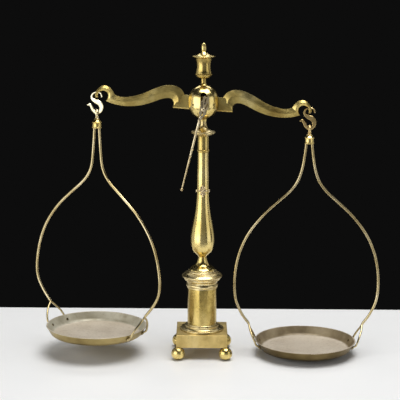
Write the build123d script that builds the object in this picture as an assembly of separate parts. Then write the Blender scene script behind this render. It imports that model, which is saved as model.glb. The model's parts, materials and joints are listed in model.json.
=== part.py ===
from build123d import *
import math
import os

os.makedirs("parts", exist_ok=True)

# All sizes are in millimetres. X is right, Y is to the back, Z is up.
# The origin is on the floor, under the centre of the column.

# Clearances
fit = 0.05
running_fit = 0.08
seat_gap = 0.1

# Feet and plinth
foot_radius = 10.9
foot_cut = 0.5
foot_height = 20.5
foot_neck_radius = 5.5
foot_inset = 3
stud_radius = 1.6
stud_length = 8
plinth_width = 82
plinth_height = 20.5
plinth_wall = 5
plinth_top = 6
plinth_block = 14
plinth_edge = 0.8

# Column
spigot_length = 5
plinth_spigot_radius = 9
moulding_radius = 35
moulding_height = 10.5
drum_radius = 23.5
drum_height = 59.5
drum_spigot_radius = 14
cornice_radius = 32.4
cornice_height = 29
skirt_radius = 20.6
baluster_height = 191
neck_radius = 6.4
bulb_radius = 19.5
shaft_radius = 8.7
shaft_spigot_radius = 5
sleeve_radius = 9
sleeve_height = 26.5
sleeve_bead_radius = 10.4
capital_radius = 19.3
capital_height = 23.5
capital_neck_radius = 5.1
capital_spigot_radius = 3

# Globe
globe_radius = 24
globe_band = 3
globe_wall = 3
globe_foot = 3.5
lip_wall = 1.5
window_width = 11
window_low = 16.8
window_high = 12.8
slot_width = 9.8
slot_low = 16.5
slot_high = 17.5
bearing_reach = 17.5
bearing_gap = 7
bearing_thickness = 4
bearing_high = 3.5
bearing_low = 5.5
bearing_notch_angle = 55
bearing_boss_radius = 2.7
screw_offset = 16.1
screw_drop = 2.5
screw_radius = 1.5

# Finial
stem_radius = 3.9
stem_height = 7
urn_height = 40
urn_lip_radius = 14
lid_radius = 18.2
lid_height = 10
knob_radius = 4
knob_height = 13.8

# Index ornament on the shaft
index_height = 270
index_stud_drop = 0.8
petal_radius = 1.7
petal_length = 3.2
petal_lift = 0.7
dowel_radius = 1
dowel_length = 3

# Beam
rest_tilt = 3.9
arm_half_thickness = 4.6
arm_edge_half_thickness = 2.2
ridge_high_share = 0.40
ridge_low_share = 0.52
block_half_thickness = 4.2
block_high = 9
block_low = 13.2
block_chamfer = 1.8
knife_half_width = 3.6
knife_height = 6.3
arm_root = 30.5
curl_back = 28.1
hole_reach = 168.6
hole_rise = 3.35
hole_radius = 2.65
hook_seat_drop = 0.35

# Pointer
pointer_lean = 9.9
pointer_length = 140
pointer_front = 26.5
head_thickness = 1.8
head_top = 13
head_foot = 25
head_half_width = 6.8
head_shift = 2
needle_top_radius = 1.9
needle_tip_radius = 1.1
tip_ball_radius = 2.3
tang_thickness = 1.2
pointer_stud_drop = 9
pointer_stud_radius = 2
pointer_rivet_radius = 0.8

# Hook, eye and ferrule, measured down from the hole in the beam
hook_height = 34.8
hook_half_thickness = 1.5
hook_flat_half = 0.6
hook_bevel = 0.7
hook_foot_half_width = 2.4
hook_curve_rise = 0.4
left_lean = 0.5
right_lean = 0
eye_bore_half_width = 3.6
eye_bore_half_height = 3.8
eye_wire = 3
eye_half_thickness = 1.8
eye_edge = 0.8
eye_neck_radius = 3.2
shank_radius = 1.4
shank_length = 7.4
shank_head_radius = 2.2
shank_head_height = 1.5
ferrule_radius = 7.6
ferrule_flange_radius = 8.4
ferrule_height = 15.2

# Pan and bow
pan_radius = 81
pan_depth = 15.5
pan_sheet = 1.2
pan_slope = 62
pan_corner_radius = 10
pan_bead_radius = 0.7
bow_drop = 344.6
rod_radius = 2.15
rod_offset = 4.9
rod_seat = 7
bow_reach = 116.6
fork_height = 25
fork_out = 12.1
leg_radius = 1.65
leg_spread_angle = 15.5
pad_radius = 3.2
pad_thickness = 2
pad_down = 8.4
leg_down = 5.0
leg_off_wall = 1.75
rivet_radius = 1.1
rivet_head_radius = 2
rivet_head_height = 0.8
rivet_gap = 0.03
left_yaw = -30
right_yaw = 0

# Heights that follow from the sizes above
plinth_base = foot_height
moulding_base = plinth_base + plinth_height
drum_base = moulding_base + moulding_height
cornice_base = drum_base + drum_height
baluster_base = cornice_base + cornice_height
sleeve_base = baluster_base + baluster_height
capital_base = sleeve_base + sleeve_height
globe_base = capital_base + capital_height
pivot_height = globe_base + globe_foot + globe_radius + globe_band
finial_base = pivot_height + globe_band + globe_radius + 2
urn_base = finial_base + stem_height
lid_base = finial_base + urn_height
knob_base = lid_base + lid_height


def turned(start, *steps):
    """Solid turned about Z, from the axis out to start, along the steps and back.

    A step is (radius, height) for a straight cut, (radius, height, rise) for an arc that
    bulges outward by rise, or a list of (radius, height) for a smooth curve.
    """
    here = Vector(start[0], 0, start[1])
    edges = [Line((0, 0, start[1]), here)]
    for step in steps:
        if isinstance(step, list):
            points = [Vector(r, 0, z) for r, z in step]
            edges.append(Spline(here, *points))
            here = points[-1]
            continue
        there = Vector(step[0], 0, step[1])
        if len(step) == 2:
            edges.append(Line(here, there))
        else:
            chord = there - here
            outward = Vector(chord.Z, 0, -chord.X).normalized()
            edges.append(ThreePointArc(here, (here + there) * 0.5 + outward * step[2], there))
        here = there
    edges.append(Line(here, (0, 0, here.Z)))
    edges.append(Line((0, 0, here.Z), (0, 0, start[1])))
    return revolve(make_face(edges), axis=Axis.Z)


def post(radius, low, high, x=0, y=0):
    """Upright round post between two heights."""
    return Pos(x, y, low) * Cylinder(radius, high - low, align=(Align.CENTER, Align.CENTER, Align.MIN))


def bar_y(radius, x, z, front, back):
    """Round bar along Y between two depths."""
    bar = Cylinder(radius, back - front, align=(Align.CENTER, Align.CENTER, Align.MIN))
    return Pos(x, front, z) * Rot(-90, 0, 0) * bar


def slab(x_size, y_size, low, high, x=0, y=0):
    """Upright block between two heights."""
    block = Box(x_size, y_size, high - low, align=(Align.CENTER, Align.CENTER, Align.MIN))
    return Pos(x, y, low) * block


def socket(radius, base):
    """Space that the spigot of the piece below needs."""
    return post(radius + fit, base - 1, base + spigot_length + 4 * fit)


# Stand


def foot():
    centre = foot_radius - foot_cut
    cut_radius = math.sqrt(foot_radius ** 2 - centre ** 2)
    neck = centre + math.sqrt(foot_radius ** 2 - foot_neck_radius ** 2)
    ball = Pos(0, 0, centre) * Sphere(foot_radius)
    ball &= post(foot_radius, 0, neck)
    stem = turned((cut_radius, centre), (foot_neck_radius, neck), (foot_neck_radius, foot_height))
    stud = post(stud_radius, foot_height - 1, foot_height + stud_length)
    return ball + stem + stud


def plinth():
    top = plinth_base + plinth_height
    body = slab(plinth_width, plinth_width, plinth_base, top)
    body = fillet(body.edges().filter_by(Axis.Z) + body.edges().group_by(Axis.Z)[-1], plinth_edge)
    inner = plinth_width - 2 * plinth_wall
    clear = plinth_width - 2 * plinth_block
    body -= slab(inner, clear, plinth_base - 1, top - plinth_top)
    body -= slab(clear, inner, plinth_base - 1, top - plinth_top)
    for x, y in corners():
        body -= post(stud_radius + fit, plinth_base - 1, plinth_base + stud_length + 4 * fit, x, y)
    return body - post(plinth_spigot_radius + fit, top - plinth_top - 1, top + 1)


def corners():
    half = plinth_width / 2 - foot_inset
    return [(-half, -half), (half, -half), (-half, half), (half, half)]


def base_moulding():
    z = moulding_base
    top = drum_base
    ring = drum_radius + 3.8
    body = turned(
        (plinth_spigot_radius, z - plinth_top + 0.5),
        (plinth_spigot_radius, z),
        (moulding_radius, z),
        (moulding_radius, z + 1.9),
        (moulding_radius - 1.4, z + 3.2, 0.45),
        (ring + 0.7, z + 5, -0.9),
        (ring, z + 5.2),
        (ring, z + 7.6),
        (ring - 0.6, z + 8.2, 0.2),
        (drum_radius + 1.6, z + 8.3),
        (drum_radius + 0.6, top, 0.5),
        (drum_spigot_radius, top),
        (drum_spigot_radius, top + spigot_length),
    )
    return body


def drum():
    body = turned(
        (drum_radius, drum_base),
        (drum_radius, cornice_base),
        (drum_spigot_radius, cornice_base),
        (drum_spigot_radius, cornice_base + spigot_length),
    )
    return body - socket(drum_spigot_radius, drum_base)


def cornice():
    z = cornice_base
    top = baluster_base
    collar = drum_radius + 1.5
    body = turned(
        (collar, z),
        (collar, z + 2),
        (collar, z + 7, 0.9),
        (collar - 0.5, z + 7.7),
        (cornice_radius - 5, z + 12.2, -0.9),
        (cornice_radius - 3.6, z + 13.4),
        (cornice_radius, z + 18.3, -0.8),
        (cornice_radius - 0.4, z + 20.4, 0.5),
        (collar, z + 25, 0.4),
        (skirt_radius + 2.6, z + 25.8, -0.3),
        (skirt_radius + 0.6, top - 0.8, 0.9),
        (skirt_radius, top),
        (shaft_spigot_radius, top),
        (shaft_spigot_radius, top + spigot_length),
    )
    return body - socket(drum_spigot_radius, z)


def baluster_outline():
    """Curve from the skirt's edge to the top of the shaft."""
    z = baluster_base
    skirt = [
        (skirt_radius - 4, z + 4.7),
        (skirt_radius - 8.4, z + 8.0),
        (neck_radius + 3.4, z + 11.3),
        (neck_radius + 0.8, z + 18.0),
        (neck_radius, z + 21.2),
    ]
    bulb = [
        (neck_radius + 2.5, z + 24.5),
        (bulb_radius - 4.1, z + 31.0),
        (bulb_radius - 1.4, z + 37.6),
        (bulb_radius, z + 48.5),
        (bulb_radius - 2.0, z + 67.3),
        (bulb_radius - 5.8, z + 87.0),
    ]
    shaft = [
        (shaft_radius + 3.0, z + 100),
        (shaft_radius + 1.4, z + 118),
        (shaft_radius + 0.8, z + 139),
        (shaft_radius, z + baluster_height - 20),
    ]
    return skirt, bulb + shaft


def shaft_shape():
    """Baluster before its holes, also used to seat the ornament."""
    skirt, upper = baluster_outline()
    return turned(
        (skirt_radius, baluster_base),
        (skirt_radius, baluster_base + 0.8),
        skirt,
        upper,
        (shaft_radius, sleeve_base),
        (shaft_spigot_radius, sleeve_base),
        (shaft_spigot_radius, sleeve_base + spigot_length),
    )


def baluster():
    body = shaft_shape() - socket(shaft_spigot_radius, baluster_base)
    depth = shaft_radius - dowel_length
    body -= bar_y(dowel_radius + fit, 0, index_height, -shaft_radius - 3, -depth + fit)
    for side in (-1, 1):
        body -= Pos(side * (depth + 5 - fit), 0, index_height - index_stud_drop) * Rot(0, 90, 0) * Cylinder(
            dowel_radius + fit, 10
        )
    return body


def upper_sleeve():
    z = sleeve_base
    body = turned(
        (sleeve_radius, z),
        (sleeve_radius, z + 1.4),
        (sleeve_radius, z + 4.8, sleeve_bead_radius - sleeve_radius),
        (sleeve_radius, capital_base),
        (shaft_spigot_radius, capital_base),
        (shaft_spigot_radius, capital_base + spigot_length),
    )
    return body - socket(shaft_spigot_radius, z)


def capital():
    z = capital_base
    disc = z + 4.5
    body = turned(
        (sleeve_radius + 0.5, z),
        (capital_radius - 4.6, z + 2.2, -0.5),
        (capital_radius - 0.9, disc, 0.3),
        (capital_radius, disc + 0.6),
        (capital_radius, disc + 2),
        (capital_radius - 0.7, disc + 2.8, 0.2),
        [
            (sleeve_radius + 3.2, disc + 4.6),
            (capital_neck_radius + 2.0, disc + 9.4),
            (capital_neck_radius + 0.2, disc + 14),
            (capital_neck_radius, globe_base),
        ],
        (capital_spigot_radius, globe_base),
        (capital_spigot_radius, globe_base + 4),
    )
    return body - socket(shaft_spigot_radius, z)


# Globe with its bearings


def globe_windows():
    """Openings for the beam on both sides and for the pointer's stud in front."""
    side = slab(
        3 * globe_radius, window_width, pivot_height - window_low, pivot_height + window_high
    )
    straight = slot_high - slot_width / 2
    slot = slab(
        slot_width, globe_radius + 5, pivot_height - slot_low, pivot_height + straight, 0,
        -(globe_radius + 5) / 2,
    )
    arch = bar_y(slot_width / 2, 0, pivot_height + straight, -globe_radius - 5, 0)
    return side + slot + arch


def globe_hollow(radius):
    """Space inside the globe, round at both ends with a straight band between."""
    return (
        post(radius, pivot_height - globe_band, pivot_height + globe_band)
        + Pos(0, 0, pivot_height - globe_band) * Sphere(radius)
        + Pos(0, 0, pivot_height + globe_band) * Sphere(radius)
    )


def screw_holes(radius):
    reach = globe_radius + 5
    holes = []
    for side in (-1, 1):
        holes.append(bar_y(radius, side * screw_offset, pivot_height - screw_drop, -reach, reach))
    return holes[0] + holes[1]


def globe_lower():
    low = pivot_height - globe_band
    collar = capital_neck_radius + 1.4
    lip_radius = globe_radius - lip_wall
    shell = Pos(0, 0, low) * Sphere(globe_radius)
    shell &= post(globe_radius, low - globe_radius, low)
    shell += post(globe_radius, low, pivot_height)
    shell += post(lip_radius, pivot_height, pivot_height + globe_band - fit)
    meet = low - math.sqrt(globe_radius ** 2 - (collar + 2) ** 2)
    shell += turned(
        (capital_neck_radius, globe_base),
        (capital_neck_radius + 0.4, globe_base + 1),
        (collar + 2, meet, -0.8),
        (1, low - globe_radius + globe_wall / 2),
    )
    shell -= globe_hollow(globe_radius - globe_wall)
    shell -= globe_windows()
    shell -= screw_holes(screw_radius + fit)
    return shell - post(capital_spigot_radius + fit, globe_base - 1, globe_base + 4 + fit)


def globe_upper():
    high = pivot_height + globe_band
    lip_radius = globe_radius - lip_wall
    shell = Pos(0, 0, high) * Sphere(globe_radius)
    shell &= post(globe_radius, high, high + globe_radius)
    shell += post(globe_radius, pivot_height, high)
    meet = high + math.sqrt(globe_radius ** 2 - (stem_radius + 5) ** 2)
    shell += turned(
        (1, high + globe_radius - globe_wall / 2),
        (stem_radius + 5, meet),
        (stem_radius + 2, finial_base - 1.2, -0.4),
        (stem_radius + 1.2, finial_base),
    )
    shell -= post(lip_radius + fit, pivot_height - 1, high)
    shell -= Pos(0, 0, high) * Sphere(globe_radius - globe_wall)
    shell -= globe_windows()
    return shell - post(capital_spigot_radius + fit, finial_base - 4 - fit, finial_base + 1)


def bearing(side):
    """Plate with a notch for the knife edge; side is -1 in front and 1 at the back."""
    centre = side * (bearing_gap + bearing_thickness / 2)
    plate = slab(
        2 * bearing_reach, bearing_thickness, pivot_height - bearing_low,
        pivot_height + bearing_high, 0, centre,
    )
    for end in (-1, 1):
        near, far = sorted((side * (bearing_gap + 1), side * globe_radius))
        boss = bar_y(bearing_boss_radius, end * screw_offset, pivot_height - screw_drop, near, far)
        plate += boss
    plate &= globe_hollow(globe_radius - globe_wall - fit)
    depth = bearing_high + 2
    spread = depth * math.tan(math.radians(bearing_notch_angle))
    bottom = pivot_height - seat_gap
    notch = Polyline(
        (0, 0, bottom), (spread, 0, bottom + depth), (-spread, 0, bottom + depth), close=True
    )
    plate -= extrude(make_face(notch.edges()), globe_radius, dir=(0, 1, 0), both=True)
    return plate - screw_holes(screw_radius + fit)


def bearing_screw(x_side, y_side):
    """Sunk screw through the globe's wall into the bearing's boss."""
    near = y_side * (bearing_gap + 1.5)
    dome = math.sqrt(globe_radius ** 2 - screw_offset ** 2)
    far = y_side * (dome - 1.3)
    low, high = sorted((near, far))
    x = x_side * screw_offset
    body = bar_y(screw_radius, x, pivot_height - screw_drop, low, high)
    cut = Pos(x, far, pivot_height - screw_drop) * Box(3 * screw_radius, 0.8, 0.6)
    return body - cut


# Finial


def finial_urn():
    z = finial_base
    bowl = urn_base + 3
    top = lid_base
    body = turned(
        (capital_spigot_radius, z - 4),
        (capital_spigot_radius, z),
        (stem_radius + 0.7, z),
        (stem_radius, z + 1.2, -0.2),
        (stem_radius, urn_base),
        (stem_radius + 0.6, bowl - 1.2, -0.2),
        (urn_lip_radius - 1.6, bowl + 2.6, 1.7),
        (urn_lip_radius, bowl + 4.6, 0.3),
        (urn_lip_radius - 0.2, bowl + 5.2),
        (urn_lip_radius - 1.5, bowl + 5.6, -0.2),
        (urn_lip_radius - 1.3, bowl + 7, 0.2),
        [
            (urn_lip_radius - 2.6, bowl + 12),
            (urn_lip_radius - 3.1, bowl + 17.4),
            (urn_lip_radius - 2.4, bowl + 23.6),
            (urn_lip_radius - 0.1, top),
        ],
    )
    return body


def finial_lid():
    z = lid_base
    body = turned(
        (urn_lip_radius - 0.3, z),
        (lid_radius - 0.5, z + 2.2),
        (lid_radius, z + 2.9, 0.15),
        (lid_radius - 0.7, z + 3.6, 0.15),
        (stem_radius, z + lid_height, -1.7),
    )
    return body - post(capital_spigot_radius - 1 + fit, z + lid_height - 4, z + lid_height + 1)


def finial_knob():
    z = knob_base
    neck = knob_radius - 0.8
    body = turned(
        (capital_spigot_radius - 1, z - 3.8),
        (capital_spigot_radius - 1, z),
        (neck, z),
        (neck, z + 1.2),
        [
            (knob_radius, z + 5.4),
            (knob_radius - 0.3, z + 8.6),
            (knob_radius - 1.1, z + 11.6),
        ],
        (0.6, z + knob_height, 0.7),
    )
    for turn in (45, 135, 225, 315):
        groove = Pos(knob_radius - 0.2, 0, z + 8.2) * Box(1.4, 0.9, 12)
        body -= Rot(0, 0, turn) * groove
    return body


# Index ornament on the shaft


def petal(x, z, turn, length):
    """Rounded lobe on the front of the shaft, long towards turn degrees from upright."""
    reach = shaft_radius + 0.9 + petal_lift
    lobe = Cylinder(petal_radius, length)
    lobe += Pos(0, 0, length / 2) * Sphere(petal_radius)
    lobe += Pos(0, 0, -length / 2) * Sphere(petal_radius)
    return Pos(x, -math.sqrt(reach ** 2 - x ** 2), index_height + z) * Rot(0, turn, 0) * lobe


def index_ornament():
    body = Pos(0, -shaft_radius - petal_lift, index_height) * Sphere(petal_radius * 2)
    for side in (-1, 1):
        body += petal(side * 2.3, 4.3, side * 24, petal_length)
        body += petal(side * 4.0, 0.4, side * 78, petal_length)
        body += petal(side * 2.5, -3.7, side * 145, petal_length * 0.9)
        body += petal(0, side * 6.2, 0, petal_length * 1.25)
    body -= shaft_shape()
    return body + bar_y(dowel_radius, 0, index_height, -shaft_radius - 1.2, -shaft_radius + dowel_length)


def index_stud(side):
    z = index_height - index_stud_drop
    dome = Pos(side * (shaft_radius + 0.6), 0, z) * scale(Sphere(1), by=(2.2, 2.6, 3.1))
    dome -= shaft_shape()
    near = side * (shaft_radius - dowel_length)
    far = side * (shaft_radius + 1.5)
    dowel = Pos((near + far) / 2, 0, z) * Rot(0, 90, 0) * Cylinder(dowel_radius, abs(far - near))
    return dome + dowel


# Beam, drawn level with the knife edge at the origin

# Stations along the right arm: a point on its top edge and one on its underside.
# Each is a share of the way from the block to the curl, and a height.
arm_stations = [
    ((0.000000, 9.0), (0.161818, -11.8)),
    ((0.063636, 18.2), (0.146364, -3.6)),
    ((0.145455, 22.0), (0.181818, 1.3)),
    ((0.245455, 22.3), (0.240909, 2.4)),
    ((0.353636, 19.4), (0.322727, 0.2)),
    ((0.495455, 12.1), (0.450000, -5.9)),
    ((0.640909, 4.3), (0.613636, -12.2)),
    ((0.795455, -0.6), (0.786364, -15.1)),
    ((0.931818, -1.3), (0.950000, -14.4)),
]
# Stations round the curl: how far out from the hole, and a height.
curl_stations = [
    ((-28.1, 1.4), (-14.9, -9.5)),
    ((-23.1, 8.9), (-18.2, -1.6)),
    ((-17.1, 13.4), (-16.8, 3.3)),
    ((-10.1, 14.3), (-11.6, 6.4)),
    ((-2.6, 9.8), (-5.4, 5.0)),
    ((2.4, 2.0), (-1.9, 0.2)),
    ((1.7, -5.2), (-2.2, -4.8)),
]


def placed_stations():
    """Stations of the arm and the curl: the curl keeps to its hole, and the arm stretches."""
    stretch = hole_reach - curl_back - arm_root
    curl = [((hole_reach + a, b), (hole_reach + c, d)) for (a, b), (c, d) in curl_stations]
    arm = [((arm_root + stretch * a, b), (arm_root + stretch * c, d)) for (a, b), (c, d) in arm_stations]
    return arm + curl[:1], curl


def arm_section(depth, high, low):
    """Face across the arm at this depth, between two shares of its height."""
    lines = []
    for stations in placed_stations():
        for share in (high, low):
            points = []
            for (top_x, top_z), (low_x, low_z) in stations:
                x = top_x + (low_x - top_x) * share
                z = top_z + (low_z - top_z) * share
                points.append(Vector(x, depth, z))
            lines.append(points)
    top, under, curl_out, curl_in = lines
    edges = [
        Spline(*top),
        Spline(*curl_out),
        Line(curl_out[-1], curl_in[-1]),
        Spline(*reversed(curl_in)),
        Spline(*reversed(under)),
        Line(under[0], top[0]),
    ]
    return make_face(edges).face()


def right_arm():
    return loft(
        [
            arm_section(-arm_half_thickness, ridge_high_share, ridge_low_share),
            arm_section(-arm_edge_half_thickness, 0, 1),
            arm_section(arm_edge_half_thickness, 0, 1),
            arm_section(arm_half_thickness, ridge_high_share, ridge_low_share),
        ],
        ruled=True,
    )


def beam_block():
    (shoulder_x, _), (tip_x, tip_z) = placed_stations()[0][0]
    outline = Polyline(
        (-tip_x + 1.2, 0, -block_low + 0.8),
        (0, 0, -block_low),
        (tip_x - 1.2, 0, -block_low + 0.8),
        (tip_x - 4, 0, tip_z + 6),
        (shoulder_x + 2.5, 0, block_high),
        (-shoulder_x - 2.5, 0, block_high),
        (-tip_x + 4, 0, tip_z + 6),
        close=True,
    )
    body = extrude(make_face(outline.edges()), block_half_thickness, dir=(0, 1, 0), both=True)
    bottom = [e for e in body.edges().filter_by(GeomType.LINE) if is_bottom_edge(e)]
    return chamfer(bottom, block_chamfer)


def is_bottom_edge(edge):
    centre = edge.center()
    return centre.Z < -block_low + 0.6 and abs(centre.Y) > block_half_thickness - 0.1


def knife_prism(half_length):
    outline = Polyline(
        (0, 0, 0), (knife_half_width, 0, knife_height), (-knife_half_width, 0, knife_height),
        close=True,
    )
    return extrude(make_face(outline.edges()), half_length, dir=(0, 1, 0), both=True)


def level_beam():
    arm = right_arm()
    hole = Pos(hole_reach, 0, hole_rise) * Rot(0, 90, 0) * Cylinder(hole_radius, 20)
    arm -= hole
    body = beam_block() + arm + arm.mirror(Plane.YZ)
    body -= knife_prism(2 * block_half_thickness)
    return body - bar_y(pointer_stud_radius + fit, 0, -pointer_stud_drop, -10, -1)


def tilt(shape):
    """Moves a piece drawn level about the knife edge to where the beam rests."""
    return Pos(0, 0, pivot_height) * Rot(0, rest_tilt, 0) * shape


# Pointer, drawn hanging straight down from the knife edge


def lean(shape):
    return Rot(0, pointer_lean, 0) * shape


def head_outline():
    """One side of the leafy head, from its foot to its top."""
    w = head_half_width
    return [
        (w * 0.34, -head_foot),
        (w * 0.42, -head_foot + 5),
        (w * 0.82, -head_foot + 11),
        (w * 0.62, -head_foot + 14.5),
        (w * 0.98, -head_foot + 19),
        (w * 0.80, -head_foot + 23),
        (w, -head_foot + 27.5),
        (w * 0.66, -head_foot + 31),
        (w * 0.70, -head_foot + 34.5),
        (w * 0.25, head_top),
    ]


def pointer_head():
    right = [Vector(x, 0, z) for x, z in head_outline()]
    left = [Vector(-x, 0, z) for x, z in head_outline()]
    edges = [
        Spline(*right),
        ThreePointArc(right[-1], (0, 0, head_top - 2), left[-1]),
        Spline(*reversed(left)),
        Line(left[0], right[0]),
    ]
    body = extrude(make_face(edges), head_thickness / 2, dir=(0, 1, 0), both=True)
    slit = SlotOverall(10, 1.7).face()
    for x, z, turn in ((0, 4.5, 90), (-3.6, -2.5, 104), (3.6, -2.5, 76), (0, -14.2, 90)):
        cut = extrude(Plane.XZ * Rot(0, 0, turn) * slit, 5, both=True)
        body -= Pos(x, 0, z) * cut
    body = Pos(head_shift, -pointer_front, 0) * body
    stud = Rot(0, -pointer_lean, 0) * bar_y(
        pointer_stud_radius + fit, 0, -pointer_stud_drop, -2 * pointer_front, 0
    )
    body += Rot(0, -pointer_lean, 0) * bar_y(
        pointer_stud_radius + 1.2, 0, -pointer_stud_drop, -pointer_front - head_thickness / 2,
        -pointer_front + head_thickness / 2,
    )
    body -= stud
    body -= rivet_bar(pointer_rivet_radius + fit, 0)
    return lean(body)


def rivet_bar(radius, proud):
    """Rivet through the head's foot and the needle's tang."""
    front = -pointer_front - head_thickness / 2 - proud
    back = -pointer_front + head_thickness / 2 + tang_thickness + proud
    return bar_y(radius, 0, -head_foot + 3, front, back)


def pointer_needle():
    top = head_foot + 1
    length = pointer_length
    back = -pointer_front + head_thickness / 2
    bar = turned(
        (needle_tip_radius, -length),
        (needle_tip_radius * 1.35, -length * 0.62),
        (needle_tip_radius * 2, -length * 0.61),
        (needle_tip_radius * 1.4, -length * 0.60),
        (needle_top_radius - 0.2, -length * 0.54),
        (needle_top_radius + 0.7, -length * 0.53),
        (needle_top_radius - 0.1, -length * 0.52),
        (needle_top_radius, -top),
    )
    bar += Pos(0, 0, -length) * Sphere(tip_ball_radius)
    bar = Pos(0, -pointer_front, 0) * bar
    tang = slab(
        2 * needle_top_radius, tang_thickness, -top - 3, -head_foot + 6, 0,
        back + tang_thickness / 2,
    )
    body = bar + tang
    body -= rivet_bar(pointer_rivet_radius + fit, 0)
    return lean(body)


def pointer_stud():
    """Stud from the beam, out through the globe's slot to the pointer's head."""
    front = -pointer_front - head_thickness / 2
    body = bar_y(pointer_stud_radius, 0, -pointer_stud_drop, front, -1.2)
    head = Pos(0, front, -pointer_stud_drop) * scale(Sphere(1), by=(2.8, 1.1, 2.8))
    head &= Pos(0, front, -pointer_stud_drop) * Box(8, 8, 8, align=(Align.CENTER, Align.MAX, Align.CENTER))
    collar = bar_y(pointer_stud_radius + 1, 0, -pointer_stud_drop, -pointer_front + head_thickness / 2,
                   -pointer_front + head_thickness / 2 + 1)
    return body + head + collar


def pointer_rivet():
    body = rivet_bar(pointer_rivet_radius, 0)
    front = -pointer_front - head_thickness / 2
    cap = Pos(0, front, -head_foot + 3) * scale(Sphere(1), by=(1.5, 0.7, 1.5))
    cap &= Pos(0, front, -head_foot + 3) * Box(8, 8, 8, align=(Align.CENTER, Align.MAX, Align.CENTER))
    return lean(body + cap)


# Hanger, drawn plumb with the hook's top at the origin

# Stations along the hook: a point on its centre line and its width there.
hook_stations = [
    ((7.4, -7.2), 2.2),
    ((5.3, -2.3), 2.5),
    ((0.0, 0.0), 2.5),
    ((-5.4, -2.2), 2.7),
    ((-8.4, -7.4), 3.4),
    ((-6.3, -12.1), 5.2),
    ((-1.2, -15.0), 7.2),
    ((4.4, -18.2), 7.6),
    ((7.0, -23.6), 7.0),
    ((6.0, -30.0), 5.4),
    ((0.0, -34.8), 4.8),
    ((-6.2, -30.2), 4.4),
    ((-8.9, -24.6), 4.2),
    ((-11.4, -20.0), 3.6),
    ((-14.6, -20.9), 3.0),
]


def hook_section(depth, inset):
    points = [Vector(x, depth, z) for (x, z), _ in hook_stations]
    first, second = [], []
    for i, point in enumerate(points):
        after = points[min(i + 1, len(points) - 1)]
        before = points[max(i - 1, 0)]
        along = (after - before).normalized()
        across = Vector(-along.Z, 0, along.X)
        half = hook_stations[i][1] / 2 - inset
        first.append(point + across * half)
        second.append(point - across * half)
    start_cap = points[0] + (points[0] - points[1]).normalized() * (hook_stations[0][1] / 2 - inset)
    end_cap = points[-1] + (points[-1] - points[-2]).normalized() * (hook_stations[-1][1] / 2 - inset)
    edges = [
        Spline(*first),
        ThreePointArc(first[-1], end_cap, second[-1]),
        Spline(*reversed(second)),
        ThreePointArc(second[0], start_cap, first[0]),
    ]
    return make_face(edges).face()


def hook():
    return loft(
        [
            hook_section(-hook_half_thickness, hook_bevel),
            hook_section(-hook_flat_half, 0),
            hook_section(hook_flat_half, 0),
            hook_section(hook_half_thickness, hook_bevel),
        ],
        ruled=True,
    )


eye_top = -hook_height + hook_foot_half_width + hook_curve_rise + seat_gap
eye_centre = eye_top - eye_bore_half_height
eye_foot = eye_centre - eye_bore_half_height - eye_wire
ferrule_top = eye_foot - seat_gap
ferrule_base = ferrule_top - ferrule_height
shank_shoulder = eye_foot - shank_length
rim_level = -hook_height - bow_drop


def eye():
    ring = Ellipse(eye_bore_half_width + eye_wire, eye_bore_half_height + eye_wire)
    ring -= Ellipse(eye_bore_half_width, eye_bore_half_height)
    body = extrude(Plane.YZ * ring, eye_half_thickness, both=True)
    body = chamfer(body.edges().filter_by(GeomType.ELLIPSE), eye_edge)
    body = Pos(0, 0, eye_centre) * body
    body += post(eye_neck_radius, eye_foot, eye_foot + 2.4)
    body += post(shank_radius, shank_shoulder - 1, eye_foot + 1)
    body += post(shank_head_radius, shank_shoulder - shank_head_height, shank_shoulder)
    return body


def ferrule():
    z = ferrule_top
    low = ferrule_base
    flange = ferrule_flange_radius
    body = turned(
        (flange - 0.6, low),
        (flange - 0.1, low + 0.6, 0.15),
        (flange - 0.1, low + 1.9),
        (ferrule_radius, low + 2.7, -0.2),
        (ferrule_radius, z - 6.1),
        (flange, z - 5.5, -0.2),
        (flange, z - 4.2),
        (flange - 0.8, z - 3.7),
        (eye_neck_radius + 0.3, z, -1.5),
    )
    body -= post(shank_radius + running_fit, low - 1, z + 1)
    body -= post(shank_head_radius + running_fit, low - 1, shank_shoulder + fit)
    for side in (-1, 1):
        body -= post(rod_radius + fit, low - 1, low + rod_seat + fit, side * rod_offset)
    return body


# Curve of the bow: share of the way out to its widest, share of the way up to the ferrule.
bow_stations = [
    (0.000, 1.000),
    (0.023, 0.936),
    (0.058, 0.868),
    (0.113, 0.811),
    (0.234, 0.757),
    (0.424, 0.696),
    (0.659, 0.615),
    (0.821, 0.533),
    (0.925, 0.451),
    (0.982, 0.369),
    (1.000, 0.286),
    (0.972, 0.200),
]


def bow_line():
    """Centre line of a rod from its seat in the ferrule to the fork, on the +X side."""
    rise = ferrule_base - rim_level
    points = []
    for out, up in bow_stations:
        x = rod_offset + (bow_reach - rod_offset) * out
        points.append(Vector(x, 0, rim_level + rise * up))
    fork_x = pan_radius + fork_out
    points.append(Vector(fork_x + (bow_reach - fork_x) * 0.48, 0, rim_level + fork_height * 1.84))
    points.append(Vector(fork_x, 0, rim_level + fork_height))
    seat = Line((rod_offset, 0, ferrule_base + rod_seat), points[0])
    return Wire([seat, Spline(*points, tangents=[(0, 0, -1), points[-1] - points[-2]])])


def wall_point(down, off, azimuth):
    """Point off the outside of the pan's wall, at a distance down from its rim."""
    slope = math.radians(pan_slope)
    radius = pan_radius - down * math.cos(slope) + off * math.sin(slope)
    height = rim_level - down * math.sin(slope) - off * math.cos(slope)
    turn = math.radians(azimuth)
    return Vector(radius * math.cos(turn), radius * math.sin(turn), height)


def rim_point(out, up, azimuth):
    turn = math.radians(azimuth)
    radius = pan_radius + out
    return Vector(radius * math.cos(turn), radius * math.sin(turn), rim_level + up)


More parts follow.
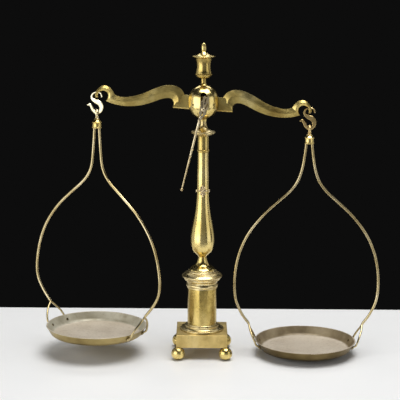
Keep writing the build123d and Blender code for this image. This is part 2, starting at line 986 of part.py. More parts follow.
def along_normal(radius, near, far, down, azimuth):
    """Round bar square to the pan's wall, from near to far off its outside."""
    slope = math.radians(pan_slope)
    turn = math.radians(azimuth)
    normal = Vector(
        math.sin(slope) * math.cos(turn), math.sin(slope) * math.sin(turn), -math.cos(slope)
    )
    start = wall_point(down, near, azimuth)
    bar = Cylinder(radius, far - near, align=(Align.CENTER, Align.CENTER, Align.MIN))
    return Plane(start, z_dir=normal) * bar


def bow_rod():
    """Rod on the +X side with its two legs and their pads."""
    path = bow_line()
    body = sweep(Plane(path @ 0, z_dir=path % 0) * Circle(rod_radius), path=path)
    fork = path @ 1
    body += Pos(*fork) * Sphere(rod_radius)
    for side in (-1, 1):
        turn = side * leg_spread_angle
        leg = Spline(
            fork,
            rim_point(fork_out * 0.83, fork_height * 0.66, turn * 0.40),
            rim_point(fork_out * 0.58, fork_height * 0.30, turn * 0.78),
            rim_point(fork_out * 0.36, 0, turn * 0.98),
            rim_point(fork_out * 0.22, -fork_height * 0.14, turn),
            wall_point(leg_down, leg_off_wall, turn),
        )
        body += sweep(Plane(leg @ 0, z_dir=leg % 0) * Circle(leg_radius), path=leg)
        body += along_normal(pad_radius, fit, pad_thickness, pad_down, turn)
        body -= along_normal(rivet_radius, -2, pad_thickness + 2, pad_down, turn)
    return body


def pan():
    slope = math.radians(pan_slope)
    half = math.radians(pan_slope / 2)
    bottom = rim_level - pan_depth
    corner = pan_radius - pan_depth / math.tan(slope)
    tangent = pan_corner_radius * math.tan(half)
    rise = pan_corner_radius * (1 - math.cos(half))
    inner_tangent = (pan_corner_radius - pan_sheet) * math.tan(half)
    inner_corner = corner - pan_sheet * math.tan(half)
    outer_wall = (corner + tangent * math.cos(slope), bottom + tangent * math.sin(slope))
    floor = bottom + pan_sheet
    inner_wall = (
        inner_corner + inner_tangent * math.cos(slope), floor + inner_tangent * math.sin(slope)
    )
    inner_rim = pan_radius - pan_sheet / math.sin(slope)
    body = turned(
        (corner - tangent, bottom),
        (*outer_wall, rise),
        (pan_radius, rim_level),
        (inner_rim, rim_level),
        inner_wall,
        (inner_corner - inner_tangent, floor, -rise * (1 - pan_sheet / pan_corner_radius)),
    )
    bead_x = pan_radius - 0.1
    bead = Pos(0, 0, rim_level - 0.3) * Torus(bead_x, pan_bead_radius)
    body += bead
    for flip in (0, 180):
        for side in (-1, 1):
            hole = along_normal(rivet_radius, -pan_sheet - 3, 1, pad_down, side * leg_spread_angle + flip)
            body -= hole
    return body


def pan_rivet(azimuth):
    inner = -pan_sheet - rivet_gap
    outer = pad_thickness
    body = along_normal(rivet_radius, inner - 0.1, outer + 0.1, pad_down, azimuth)
    body += along_normal(rivet_head_radius, inner - rivet_head_height, inner, pad_down, azimuth)
    body += along_normal(rivet_head_radius, outer, outer + rivet_head_height, pad_down, azimuth)
    return body


def hang(side, shape):
    """Moves a piece drawn plumb to the hole at this end of the beam."""
    turn = math.radians(rest_tilt)
    reach = side * hole_reach
    rise = hole_rise - hook_seat_drop
    x = reach * math.cos(turn) + rise * math.sin(turn)
    z = pivot_height - reach * math.sin(turn) + rise * math.cos(turn)
    off_plumb = left_lean if side < 0 else right_lean
    return Pos(x, 0, z) * Rot(0, off_plumb, 0) * shape


def turn_hanger(side, shape):
    """Turns a piece about the eye's shank, as the pan on this side stands."""
    return hang(side, Rot(0, 0, left_yaw if side < 0 else right_yaw) * shape)


def save(name, shape):
    export_step(shape, f"parts/{name}.step")


def save_stand():
    foot_names = ("foot_front_left", "foot_front_right", "foot_back_left", "foot_back_right")
    one_foot = foot()
    for name, (x, y) in zip(foot_names, corners()):
        save(name, Pos(x, y, 0) * one_foot)
    save("plinth", plinth())
    save("base_moulding", base_moulding())
    save("drum", drum())
    save("cornice", cornice())
    save("baluster", baluster())
    save("upper_sleeve", upper_sleeve())
    save("capital", capital())
    save("globe_lower", globe_lower())
    save("globe_upper", globe_upper())
    save("bearing_front", bearing(-1))
    save("bearing_rear", bearing(1))
    for y_name, y_side in (("front", -1), ("rear", 1)):
        for x_name, x_side in (("left", -1), ("right", 1)):
            save(f"bearing_screw_{y_name}_{x_name}", bearing_screw(x_side, y_side))
    save("finial_urn", finial_urn())
    save("finial_lid", finial_lid())
    save("finial_knob", finial_knob())
    save("index_ornament", index_ornament())
    save("index_stud_left", index_stud(-1))
    save("index_stud_right", index_stud(1))


def save_beam():
    save("beam", tilt(level_beam()))
    save("knife_edge", tilt(knife_prism(bearing_gap + bearing_thickness - 0.4)))
    save("pointer_head", tilt(pointer_head()))
    save("pointer_needle", tilt(pointer_needle()))
    save("pointer_stud", tilt(pointer_stud()))
    save("pointer_rivet", tilt(pointer_rivet()))


def save_hangers():
    one_hook = hook()
    one_eye = eye()
    one_ferrule = ferrule()
    outer_rod = bow_rod()
    inner_rod = Rot(0, 0, 180) * outer_rod
    one_pan = pan()
    for name, side in (("left", -1), ("right", 1)):
        save(f"{name}_hook", hang(side, one_hook))
        save(f"{name}_eye", hang(side, one_eye))
        save(f"{name}_ferrule", turn_hanger(side, one_ferrule))
        save(f"{name}_pan", turn_hanger(side, one_pan))
        for end, flip, rod in (("right", 0, outer_rod), ("left", 180, inner_rod)):
            save(f"{name}_bow_{end}_rod", turn_hanger(side, rod))
            for leg, spread in (("front", -leg_spread_angle), ("back", leg_spread_angle)):
                azimuth = flip + spread * (1 if flip == 0 else -1)
                rivet = pan_rivet(azimuth)
                save(f"{name}_rivet_{end}_{leg}", turn_hanger(side, rivet))


save_stand()
save_beam()
save_hangers()
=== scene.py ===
import bpy
import json
import math
from mathutils import Euler, Matrix, Vector

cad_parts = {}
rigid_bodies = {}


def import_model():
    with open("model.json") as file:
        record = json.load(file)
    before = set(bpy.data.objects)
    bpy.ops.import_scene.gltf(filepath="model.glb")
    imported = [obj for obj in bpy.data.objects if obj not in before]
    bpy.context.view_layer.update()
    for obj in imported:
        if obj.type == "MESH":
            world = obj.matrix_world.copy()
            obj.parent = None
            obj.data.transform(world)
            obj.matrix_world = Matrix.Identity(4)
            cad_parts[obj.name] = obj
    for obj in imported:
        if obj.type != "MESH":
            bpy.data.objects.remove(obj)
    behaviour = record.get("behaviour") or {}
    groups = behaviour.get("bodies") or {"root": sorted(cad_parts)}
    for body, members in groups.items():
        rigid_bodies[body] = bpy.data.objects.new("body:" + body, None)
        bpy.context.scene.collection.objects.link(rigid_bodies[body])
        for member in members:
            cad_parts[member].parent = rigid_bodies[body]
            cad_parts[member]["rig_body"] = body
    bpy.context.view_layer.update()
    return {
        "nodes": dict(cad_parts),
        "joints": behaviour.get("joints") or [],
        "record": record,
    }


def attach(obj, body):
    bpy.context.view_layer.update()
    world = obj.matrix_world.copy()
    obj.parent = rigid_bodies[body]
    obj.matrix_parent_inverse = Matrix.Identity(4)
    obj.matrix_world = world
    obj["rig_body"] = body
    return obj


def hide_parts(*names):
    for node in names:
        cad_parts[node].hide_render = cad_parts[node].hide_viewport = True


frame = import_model()
nodes = frame["nodes"]
joints = {item["name"]: item for item in frame["joints"]}
slots = {item["node"]: item["material_slot"] for item in frame["record"]["subparts"]}


def add_object(name, data):
    made = bpy.data.objects.new(name, data)
    bpy.context.scene.collection.objects.link(made)
    return made


# Camera at the photograph's angle

def add_camera():
    pitch, roll = math.radians(10.6), math.radians(0.37)
    distance = 2.160
    aim = Vector((-0.0044, 0, 0.254))
    data = bpy.data.cameras.new("camera")
    data.lens = 121.5
    data.sensor_width = 36
    data.clip_end = 30
    camera = add_object("camera", data)
    camera.location = aim + Vector((0, -math.cos(pitch), math.sin(pitch))) * distance
    level = Euler((math.radians(90) - pitch, 0, 0)).to_matrix()
    camera.rotation_euler = (level @ Euler((0, 0, roll)).to_matrix()).to_euler()
    bpy.context.scene.camera = camera


# Node helpers

def new_material(name):
    material = bpy.data.materials.new(name)
    material.use_nodes = True
    tree = material.node_tree
    return material, tree, tree.nodes["Principled BSDF"]


def feed(tree, item, into):
    """Sets an input to a number or a colour, or links another node's output to it."""
    if isinstance(item, tuple):
        into.default_value = (*item, 1)
    elif isinstance(item, (int, float)):
        into.default_value = item
    else:
        tree.links.new(item, into)


def add_node(tree, kind, inputs):
    node = tree.nodes.new(kind)
    for name, item in inputs.items():
        feed(tree, item, node.inputs[name])
    return node


def noise(tree, scale, detail, stretch=(1, 1, 1), rough=0.55):
    """Noise in object coordinates, which are stretched along each axis."""
    place = tree.nodes.new("ShaderNodeTexCoord").outputs["Object"]
    mapping = add_node(tree, "ShaderNodeMapping", {"Vector": place})
    mapping.inputs["Scale"].default_value = stretch
    node = add_node(tree, "ShaderNodeTexNoise", {
        "Scale": scale, "Detail": detail, "Roughness": rough, "Vector": mapping.outputs["Vector"],
    })
    return node.outputs["Fac"]


def ramp(tree, value, places, tones):
    node = add_node(tree, "ShaderNodeValToRGB", {"Fac": value})
    elements = node.color_ramp.elements
    while len(elements) < len(tones):
        elements.new(0.5)
    for element, place, tone in zip(elements, places, tones):
        element.position = place
        element.color = (*tone, 1)
    return node.outputs["Color"]


def remap(tree, value, low, high, start=0.35, end=0.65):
    """Maps start to end of a value onto low to high, and holds it there beyond."""
    node = add_node(tree, "ShaderNodeMapRange", {
        "Value": value, "From Min": start, "From Max": end, "To Min": low, "To Max": high,
    })
    return node.outputs["Result"]


def mix(tree, factor, first, second):
    node = tree.nodes.new("ShaderNodeMix")
    node.data_type = "RGBA"
    # A mix node has inputs for every data type, and those for colours are 6 and 7
    for item, place in ((factor, 0), (first, 6), (second, 7)):
        feed(tree, item, node.inputs[place])
    return node.outputs[2]


def maths(tree, kind, first, second):
    node = tree.nodes.new("ShaderNodeMath")
    node.operation = kind
    node.use_clamp = True
    feed(tree, first, node.inputs[0])
    feed(tree, second, node.inputs[1])
    return node.outputs[0]


def bump(tree, height, strength, distance, below=None):
    inputs = {"Height": height, "Strength": strength, "Distance": distance}
    if below:
        inputs["Normal"] = below
    return add_node(tree, "ShaderNodeBump", inputs).outputs["Normal"]


def brass(name, tones, rough, tarnish, scratches, dents):
    """Aged brass: broad tone, tarnish in patches, dirt specks, painted shade in corners,
    scratches, dents.
    """
    material, tree, shader = new_material(name)
    dark = tones[-1]
    # Dark tone for the dirt specks and for the painted shade in corners
    dirt_and_corner_shade = tuple(c * 0.3 for c in dark)
    patches = remap(tree, noise(tree, 75, 6, rough=0.65), 0, 1, 0.50, 0.68)
    blotch = maths(tree, "MULTIPLY", patches, tarnish)
    specks = noise(tree, 640, 3, rough=0.7)
    spots = maths(tree, "MULTIPLY", remap(tree, specks, 0, 1, 0.62, 0.72), tarnish)
    # Painted shade: corners that the occlusion node finds closed in are darkened towards the dark
    # tone
    openness = add_node(tree, "ShaderNodeAmbientOcclusion", {"Distance": 0.005})
    openness.samples = 6
    corners = remap(tree, openness.outputs["AO"], 0.8, 0, 0.30, 0.80)
    colour = ramp(tree, noise(tree, 22, 5), (0.34, 0.50, 0.72), tones)
    colour = mix(tree, blotch, colour, dark)
    colour = mix(tree, spots, colour, dirt_and_corner_shade)
    # Painted shade in corners, mixed over the colour
    colour = mix(tree, corners, colour, dirt_and_corner_shade)
    gloss = remap(tree, noise(tree, 50, 5), rough[0], rough[1], 0.3, 0.7)
    roughness = maths(tree, "ADD", gloss, maths(tree, "MULTIPLY", blotch, 0.3))
    normal = bump(tree, noise(tree, 8, 3, (8, 8, 240)), scratches, 0.0002)
    normal = bump(tree, noise(tree, 40, 2), dents, 0.002, normal)
    normal = bump(tree, specks, 0.02, 0.0001, normal)
    feed(tree, 1, shader.inputs["Metallic"])
    feed(tree, colour, shader.inputs["Base Color"])
    feed(tree, roughness, shader.inputs["Roughness"])
    feed(tree, normal, shader.inputs["Normal"])
    return material


def pan_brass(name, wall_tones, metal_tones):
    """Worn pan: pale oxidised inside with scratches and stains, brown brass outside."""
    material, tree, shader = new_material(name)
    facing = tree.nodes.new("ShaderNodeNewGeometry").outputs["Normal"]
    split = add_node(tree, "ShaderNodeSeparateXYZ", {"Vector": facing})
    inside = remap(tree, split.outputs["Z"], 0, 1, 0.05, 0.25)
    flat = remap(tree, split.outputs["Z"], 0, 1, 0.80, 0.97)
    stain = noise(tree, 24, 7)
    fine = noise(tree, 240, 6)
    scratch = noise(tree, 30, 4, (1, 14, 1))
    floor_tones = [(0.66, 0.58, 0.47), (0.60, 0.52, 0.41), (0.46, 0.38, 0.28)]
    floor = ramp(tree, stain, (0.30, 0.5, 0.74), floor_tones)
    floor = mix(tree, remap(tree, scratch, 0, 0.4, 0.45, 0.7), floor, (0.70, 0.63, 0.53))
    wall = ramp(tree, stain, (0.30, 0.5, 0.74), wall_tones)
    worn = mix(tree, flat, wall, floor)
    worn = mix(tree, remap(tree, fine, 0, 0.4, 0.52, 0.75), worn, (0.26, 0.20, 0.13))
    metal = ramp(tree, stain, (0.3, 0.55, 0.8), metal_tones)
    oxide = maths(tree, "MULTIPLY", inside, 0.75)
    normal = bump(tree, scratch, 0.06, 0.0003)
    normal = bump(tree, noise(tree, 40, 3), 0.08, 0.003, normal)
    feed(tree, mix(tree, inside, metal, worn), shader.inputs["Base Color"])
    feed(tree, maths(tree, "SUBTRACT", 1, oxide), shader.inputs["Metallic"])
    feed(tree, remap(tree, fine, 0.32, 0.50, 0.3, 0.7), shader.inputs["Roughness"])
    feed(tree, normal, shader.inputs["Normal"])
    return material


def steel(name):
    material, tree, shader = new_material(name)
    tone = noise(tree, 300, 4)
    colour = ramp(tree, tone, (0.3, 0.7), [(0.42, 0.41, 0.40), (0.20, 0.18, 0.16)])
    lines = noise(tree, 20, 3, (1, 40, 1))
    feed(tree, 1, shader.inputs["Metallic"])
    feed(tree, colour, shader.inputs["Base Color"])
    feed(tree, remap(tree, tone, 0.28, 0.5), shader.inputs["Roughness"])
    feed(tree, bump(tree, lines, 0.15, 0.0003), shader.inputs["Normal"])
    return material


# Each brass: tones from light to dark, then the range of its roughness,
# the strength of its tarnish, and the bump strength of its scratches and of its dents
brasses = {
    "stand_brass": (
        [(0.88, 0.72, 0.33), (0.80, 0.63, 0.24), (0.54, 0.39, 0.11)],
        (0.18, 0.28), 0.30, 0, 0.025,
    ),
    "drum_brass": (
        [(0.68, 0.52, 0.19), (0.54, 0.40, 0.12), (0.32, 0.21, 0.05)],
        (0.18, 0.28), 0.40, 0.0125, 0.05,
    ),
    "plinth_brass": (
        [(0.84, 0.67, 0.31), (0.75, 0.57, 0.23), (0.48, 0.34, 0.11)],
        (0.36, 0.50), 0.50, 0, 0.1,
    ),
    "beam_brass": (
        [(0.80, 0.66, 0.28), (0.62, 0.48, 0.16), (0.32, 0.22, 0.06)],
        (0.24, 0.40), 0.55, 0, 0.075,
    ),
    # Brass painted almost white: a painted highlight for the pieces in this slot, the left hook
    # among them, standing in for the light its face reflects
    "pale_brass": (
        [(0.98, 0.94, 0.74), (0.95, 0.88, 0.62), (0.70, 0.58, 0.32)],
        (0.26, 0.38), 0.20, 0, 0.025,
    ),
    "hook_brass": (
        [(0.84, 0.66, 0.34), (0.72, 0.54, 0.24), (0.40, 0.28, 0.10)],
        (0.26, 0.38), 0.45, 0, 0.025,
    ),
    "rod_brass": (
        [(0.68, 0.58, 0.36), (0.54, 0.44, 0.23), (0.32, 0.24, 0.10)],
        (0.16, 0.26), 0.35, 0, 0.0125,
    ),
    "pointer_brass": (
        [(0.90, 0.79, 0.54), (0.74, 0.61, 0.37), (0.36, 0.26, 0.12)],
        (0.22, 0.36), 0.60, 0, 0.1,
    ),
    "moulding_brass": (
        [(0.82, 0.70, 0.40), (0.68, 0.55, 0.27), (0.40, 0.29, 0.10)],
        (0.22, 0.36), 0.50, 0, 0.05,
    ),
}
# Each pan: tones from light to dark of its wall inside, then of the metal outside
pans = {
    "pan_brass": (
        [(0.60, 0.58, 0.48), (0.46, 0.43, 0.33), (0.26, 0.23, 0.15)],
        [(0.46, 0.36, 0.16), (0.33, 0.25, 0.10), (0.17, 0.12, 0.05)],
    ),
    "pan_brown": (
        [(0.36, 0.29, 0.18), (0.20, 0.15, 0.08), (0.09, 0.06, 0.03)],
        [(0.24, 0.18, 0.08), (0.14, 0.10, 0.04), (0.06, 0.04, 0.015)],
    ),
}
# Pieces whose metal isn't that of their slot
own_metal = {
    "drum": "drum_brass",
    "base_moulding": "moulding_brass",
    "cornice": "moulding_brass",
    "capital": "moulding_brass",
    "index_ornament": "pointer_brass",
    "index_stud_left": "pointer_brass",
    "index_stud_right": "pointer_brass",
    "upper_sleeve": "drum_brass",
    "finial_urn": "drum_brass",
    "plinth": "plinth_brass",
    # The right hook and eye keep plain brass; the pale slot brass of their left twins is a
    # painted highlight
    "right_hook": "hook_brass",
    "right_eye": "hook_brass",
    "right_pan": "pan_brown",
}
materials = {name: brass(name, *kind) for name, kind in brasses.items()}
materials.update({name: pan_brass(name, *kind) for name, kind in pans.items()})
materials["steel"] = steel("steel")


def metal(node):
    return materials[own_metal.get(node, slots[node])]


def dress_nodes():
    for name, item in nodes.items():
        for slot in item.material_slots:
            slot.material = metal(name)


# Hooks, eyes, ferrules and bow rods, drawn in mm down from each hook's hinge, angles in degrees

# The left hook hangs a little twisted, so that its face catches the light
hook_twist = {"left": -11, "right": 0}
pan_turn = {"left": -30, "right": 0}


def hang(side, yaw=0):
    """Place of what hangs at this end of the beam: the hook's hinge, upright as the pan turns."""
    hinge = Matrix.Translation(joints[f"{side}_hook_level"]["pos_m"])
    upright = Vector(joints[f"{side}_pan_turn"]["axis"])
    lean = Vector((0, 0, 1)).rotation_difference(upright).to_matrix().to_4x4()
    turn = Matrix.Rotation(math.radians(yaw), 4, "Z")
    return hinge @ lean @ turn @ Matrix.Scale(0.001, 4)


def add_piece(name, shape, place, node, sharp=40):
    """Puts a shape in its CAD node's place; edges over the angle sharp stay crisp."""
    verts, faces = shape
    mesh = bpy.data.meshes.new(name)
    mesh.from_pydata([place @ Vector(v) for v in verts], [], faces)
    mesh.polygons.foreach_set("use_smooth", [True] * len(faces))
    mesh.set_sharp_from_angle(angle=math.radians(sharp))
    mesh.materials.append(metal(node))
    piece = add_object(name, mesh)
    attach(piece, nodes[node]["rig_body"])
    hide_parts(node)


def part_way(first, second, start, end, t):
    return [a + (b - a) * (t - start) / (end - start) for a, b in zip(first, second)]


def smooth_line(points, steps=8):
    """Smooth curve through points of any length, the same number of steps between each two."""
    rows = [tuple(p) for p in points]
    rows = [tuple(2 * a - b for a, b in zip(rows[0], rows[1]))] + rows
    rows.append(tuple(2 * a - b for a, b in zip(rows[-1], rows[-2])))
    line = []
    for i in range(1, len(rows) - 2):
        quad = rows[i - 1:i + 3]
        knots = [0.0]
        for a, b in zip(quad, quad[1:]):
            gap = (Vector(b[:3]) - Vector(a[:3])).length
            knots.append(knots[-1] + max(gap, 1e-6) ** 0.5)
        t0, t1, t2, t3 = knots
        is_last = i == len(rows) - 3
        for k in range(steps + is_last):
            t = t1 + (t2 - t1) * k / steps
            first = part_way(quad[0], quad[1], t0, t1, t)
            second = part_way(quad[1], quad[2], t1, t2, t)
            third = part_way(quad[2], quad[3], t2, t3, t)
            before = part_way(first, second, t0, t2, t)
            after = part_way(second, third, t1, t3, t)
            line.append(part_way(before, after, t1, t2, t))
    return line


def direction(line, i):
    return (line[min(i + 1, len(line) - 1)] - line[max(i - 1, 0)]).normalized()


def around(radius, height, azimuth):
    turn = math.radians(azimuth)
    return Vector((radius * math.cos(turn), radius * math.sin(turn), height))


def skin(rings, closed=False):
    """Faces over rings of equal count, capped at both ends unless the line is closed."""
    count = len(rings[0])
    verts = [v for ring in rings for v in ring]
    faces = []
    for i in range(len(rings) - (0 if closed else 1)):
        j = (i + 1) % len(rings)
        for k in range(count):
            m = (k + 1) % count
            faces.append((i * count + k, i * count + m, j * count + m, j * count + k))
    if not closed:
        faces.append(tuple(reversed(range(count))))
        faces.append(tuple(range((len(rings) - 1) * count, len(rings) * count)))
    return verts, faces


def tube(points, radius, sides):
    """Round rod along a smooth curve; its section stays untwisted."""
    line = [Vector(p) for p in smooth_line(points)]
    turns = [2 * math.pi * k / sides for k in range(sides)]
    side = direction(line, 0).orthogonal()
    rings = []
    for i, here in enumerate(line):
        along = direction(line, i)
        side = (side - along * side.dot(along)).normalized()
        up = along.cross(side)
        rings.append([here + (side * math.cos(t) + up * math.sin(t)) * radius for t in turns])
    return skin(rings)


def turned(profile, sides=48):
    """Solid turned about Z through (radius, height) points, closed at top and bottom."""
    steps = [360 * k / sides for k in range(sides)]
    return skin([[around(radius, height, step) for step in steps] for radius, height in profile])


def bevelled(wide, flat, thick, edge):
    """Corners of a bevelled strip's section. All are half measures: across the strip to its
    edges and over its flat faces, and through it at its faces and at its edges."""
    half = [(flat, -thick), (wide, -edge), (wide, edge), (flat, thick)]
    return half + [(-a, -b) for a, b in half]


def joined(*shapes):
    verts, faces = [], []
    for more_verts, more_faces in shapes:
        base = len(verts)
        verts += more_verts
        faces += [tuple(base + i for i in face) for face in more_faces]
    return verts, faces


hook_height = 32.8
# Half the hook's thickness at its face, at its tips and at its edges, and its bevel's width
hook_thick, tip_thick, hook_edge, hook_bevel = 1.5, 0.8, 0.7, 0.8
# Down the hook's centre line: out and up in shares of its height, and the width in mm
hook_stations = [
    (0.241, -0.213, 2.0),
    (0.183, -0.052, 2.1),
    (0.000, 0.000, 2.2),
    (-0.177, -0.058, 2.4),
    (-0.262, -0.220, 3.2),
    (-0.196, -0.360, 5.0),
    (-0.038, -0.445, 7.0),
    (0.135, -0.537, 7.4),
    (0.216, -0.692, 6.8),
    (0.188, -0.872, 5.2),
    (0.000, -1.000, 4.8),
    (-0.187, -0.872, 4.4),
    (-0.271, -0.720, 4.1),
    (-0.348, -0.598, 3.5),
    (-0.438, -0.625, 2.9),
]


def rounded_end(here, along, half):
    """Places and half widths of the sections that round off a strip's end."""
    turns = [math.radians(angle) for angle in (25, 50, 70, 84)]
    return [(here + along * half * math.sin(t), half * math.cos(t)) for t in turns]


def add_hook(side):
    """Flat S cut from sheet, bevelled on both faces and rounded at its ends."""
    rows = [(out * hook_height, 0, up * hook_height, wide / 2) for out, up, wide in hook_stations]
    rows = smooth_line(rows, 6)
    line = [Vector(row[:3]) for row in rows]
    rings = []
    for i, here in enumerate(line):
        half = rows[i][3]
        along = direction(line, i)
        across = Vector((-along.z, 0, along.x))
        spots = [(here, half)]
        if i == 0:
            spots = rounded_end(here, -along, half)[::-1] + spots
        if i == len(line) - 1:
            spots += rounded_end(here, along, half)
        for centre, wide in spots:
            flat = wide - min(hook_bevel, wide * 0.6)
            thick = tip_thick + (hook_thick - tip_thick) * wide / half
            corners = bevelled(wide, flat, thick, hook_edge)
            rings.append([centre + across * a + Vector((0, b, 0)) for a, b in corners])
    place = hang(side, hook_twist[side])
    add_piece(f"{side}_hook_shape", skin(rings), place, f"{side}_hook", 30)


gap = 0.1
# Half the hook's width at its foot, and room for the loop's curve across the hook's thickness
hook_foot, curve_room = 2.4, 0.4
# The eye: half the height inside its loop, half the loop's section out and across, its neck
eye_bore, eye_wire, eye_thick, neck_height = 3.8, 1.5, 1.8, 2.1
eye_top = -hook_height + hook_foot + curve_room + gap
eye_foot = eye_top - 2 * (eye_bore + eye_wire) - neck_height


def add_eye(side):
    """Loop that hangs edge on in the hook, on a turned neck."""
    centre = eye_top - eye_bore
    high = eye_bore + eye_wire
    deep = high - 0.2
    corners = bevelled(eye_wire, 0.9, eye_thick, 0.9)[::-1]
    rings = []
    for k in range(40):
        turn = 2 * math.pi * k / 40
        out = Vector((0, math.cos(turn) * high, math.sin(turn) * deep)).normalized()
        here = Vector((0, math.cos(turn) * deep, centre + math.sin(turn) * high))
        rings.append([here + out * a + Vector((b, 0, 0)) for a, b in corners])
    neck = [
        (1.3, -4), (1.3, 0), (4.0, 0.05), (4.2, 0.4), (3.7, 0.9), (2.8, 1.5),
        (2.6, 2.1), (3.1, 2.7), (3.2, 3.3), (2.6, 4.0), (1.6, 4.6),
    ]
    neck = turned([(radius, eye_foot + up) for radius, up in neck], 32)
    shape = joined(skin(rings, True), neck)
    add_piece(f"{side}_eye_shape", shape, hang(side), f"{side}_eye")


ferrule_height = 14.2
ferrule_top = eye_foot - gap
ferrule_base = ferrule_top - ferrule_height


def add_ferrule(side):
    """Turned cap with a bead near its top and a collar at its foot."""
    collar = [(0.5, 0), (7.0, 0), (7.6, 0.2), (7.9, 0.8), (7.8, 1.7), (7.3, 2.2), (7.0, 2.9)]
    cap = [
        (7.0, 6.3), (7.4, 5.9), (7.9, 5.4), (8.0, 4.8), (7.8, 4.2), (7.2, 3.7),
        (6.2, 2.6), (5.2, 1.5), (4.6, 0.6), (4.4, 0), (0.5, 0),
    ]
    profile = [(radius, ferrule_base + up) for radius, up in collar]
    profile += [(radius, ferrule_top - down) for radius, down in cap]
    place = hang(side, pan_turn[side])
    add_piece(f"{side}_ferrule_shape", turned(profile), place, f"{side}_ferrule")


# The pan's rim and the slope of its wall
rim_level, rim_radius, wall_slope = -379.4, 81, 62
# Curve of each bow: share of the way out to its widest, share of the way up to the ferrule
bow_stations = {
    "left": [
        (0.000, 1.000), (0.024, 0.878), (0.046, 0.816), (0.076, 0.785), (0.128, 0.754),
        (0.206, 0.723), (0.406, 0.662), (0.596, 0.600), (0.740, 0.538), (0.847, 0.476),
        (0.920, 0.414), (0.967, 0.352), (1.000, 0.259), (0.976, 0.197),
    ],
    "right": [
        (0.000, 1.000), (0.021, 0.936), (0.056, 0.868), (0.115, 0.811), (0.213, 0.764),
        (0.408, 0.702), (0.596, 0.640), (0.803, 0.547), (0.927, 0.454), (0.987, 0.361),
        (1.000, 0.283), (0.976, 0.206),
    ],
}
bow_reach = {"left": 119.7, "right": 116.3}
rod_radius, leg_radius = 2.15, 1.6
# The rod's bore in the ferrule, then its fork, out and up from the rim's level,
# and the bend over the fork, as a share of the way from the fork to the widest, and up
bore_out, bore_depth = 4.6, 5
fork_out, fork_up = 92.5, 27
bend_share, bend_up = 0.48, 43.2
# Down each leg: out and up from the rim, and share of the way round to its rivet
leg_stations = [(9.5, 17.8, 0.40), (6.7, 8.1, 0.78), (4.1, 0, 0.98), (2.5, -3.6, 1)]
rivet_azimuth, rivet_down = 15.5, 8.4
pad_profile = [(2.6, 0.1), (3.1, 0.4), (3.2, 1.0), (3.1, 1.6), (2.6, 1.95)]


def wall_point(down, off, azimuth):
    """Point off the outside of the pan's wall, at a distance down from its rim."""
    slope = math.radians(wall_slope)
    radius = rim_radius - down * math.cos(slope) + off * math.sin(slope)
    return around(radius, rim_level - down * math.sin(slope) - off * math.cos(slope), azimuth)


def add_rod(side, end):
    """Bent rod, forked at its foot into two legs that are hammered flat over the rivets."""
    reach, rise = bow_reach[side], ferrule_base - rim_level
    points = [Vector((bore_out, 0, ferrule_base + bore_depth))]
    for out, up in bow_stations[side]:
        points.append(Vector((bore_out + (reach - bore_out) * out, 0, rim_level + rise * up)))
    bend_out = fork_out + (reach - fork_out) * bend_share
    points.append(Vector((bend_out, 0, rim_level + bend_up)))
    fork = Vector((fork_out, 0, rim_level + fork_up))
    points.append(fork)
    shapes = [tube(points, rod_radius, 20)]
    pad_verts, pad_faces = turned(pad_profile, 24)
    for azimuth in (-rivet_azimuth, rivet_azimuth):
        # A leg starts a little up inside the rod and ends on the pad
        leg = [fork + Vector((1.2, 0, 2.4)), fork]
        for out, up, share in leg_stations:
            leg.append(around(rim_radius + out, rim_level + up, azimuth * share))
        leg.append(wall_point(6.0, 1.75, azimuth))
        shapes.append(tube(leg, leg_radius, 16))
        rivet = wall_point(rivet_down, 0, azimuth)
        out = wall_point(rivet_down, 1, azimuth) - rivet
        lie = out.to_track_quat("Z", "Y").to_matrix().to_4x4()
        lie.translation = rivet
        shapes.append(([lie @ v for v in pad_verts], pad_faces))
    place = hang(side, pan_turn[side] + (180 if end == "left" else 0))
    add_piece(f"{side}_bow_{end}_shape", joined(*shapes), place, f"{side}_bow_{end}_rod")


def add_hangers():
    for side in ("left", "right"):
        add_hook(side)
        add_eye(side)
        add_ferrule(side)
        for end in ("left", "right"):
            add_rod(side, end)


# Room: a pale table that ends behind the balance, a dark room and soft lamps

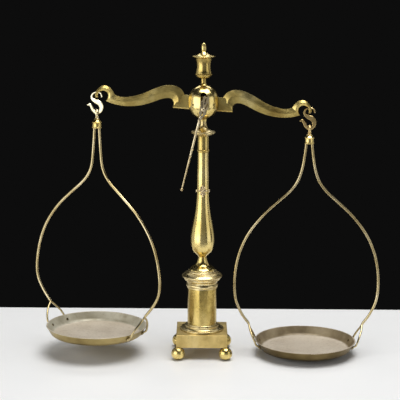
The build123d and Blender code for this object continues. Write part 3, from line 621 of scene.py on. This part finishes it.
def add_table():
    """Table top with a rounded edge, its surface at the floor's height."""
    half_width, near, far, thick, edge = 0.8, -0.32, 0.285, 0.045, 0.012
    rings = []
    for angle in (0, 22.5, 45, 67.5, 90):
        turn = math.radians(angle)
        rings.append((edge * (1 - math.sin(turn)), -edge * (1 - math.cos(turn))))
    rings.append((0, -thick))
    verts, faces = [], [(0, 1, 2, 3)]
    for inset, drop in rings:
        wide, front, back = half_width - inset, near + inset, far - inset
        verts += [(-wide, front, drop), (wide, front, drop)]
        verts += [(wide, back, drop), (-wide, back, drop)]
    for ring in range(len(rings) - 1):
        for side in range(4):
            a, b = 4 * ring + side, 4 * ring + (side + 1) % 4
            faces.append((a, a + 4, b + 4, b))
    mesh = bpy.data.meshes.new("table_top")
    mesh.from_pydata(verts, [], faces)
    table = add_object("table_top", mesh)
    material, tree, shader = new_material("table_paint")
    paint = ramp(tree, noise(tree, 3, 2), (0.3, 0.7), [(0.87, 0.87, 0.865), (0.91, 0.91, 0.905)])
    feed(tree, paint, shader.inputs["Base Color"])
    feed(tree, 0.42, shader.inputs["Roughness"])
    mesh.materials.append(material)


# Name, place, what it is aimed at, width and height in metres, power in watts
lamps = [
    ("key", (-1.30, -1.02, 0.35), (0, 0, 0.20), 1.9, 1.6, 21),
    ("side_left", (-1.5, 0.45, 0.35), (0, 0, 0.20), 1.1, 1.5, 2.8),
    ("fill", (1.45, -0.70, 0.35), (0, 0, 0.20), 1.1, 1.5, 5.5),
    ("side_right", (1.38, 0.72, 0.35), (0, 0, 0.20), 1.0, 1.5, 2.2),
    ("top", (0.25, -0.2, 1.9), (0, 0, 0.1), 1.3, 1.3, 34),
    ("rim_top", (0, 1.3, 1.5), (0, 0, 0.2), 1.6, 0.5, 6),
    ("front", (0.3, -2.6, 0.3), (0, 0, 0.2), 2.6, 2.0, 3.6),
    ("low", (0, -0.95, -0.35), (0, -0.95, 0.35), 1.7, 0.9, 2.4),
]


def add_light():
    world = bpy.data.worlds.new("world")
    world.use_nodes = True
    back = world.node_tree.nodes["Background"]
    back.inputs["Color"].default_value = (0.004, 0.004, 0.004, 1)
    bpy.context.scene.world = world
    for name, place, aim, width, height, power in lamps:
        data = bpy.data.lights.new(name, "AREA")
        data.shape = "RECTANGLE"
        data.size, data.size_y = width, height
        data.energy = power
        lamp = add_object(name, data)
        lamp.visible_camera = False
        lamp.location = place
        lamp.rotation_euler = (Vector(place) - Vector(aim)).to_track_quat("Z", "Y").to_euler()


add_camera()
dress_nodes()
add_hangers()
add_table()
add_light()
bpy.context.scene.view_settings.view_transform = "Standard"
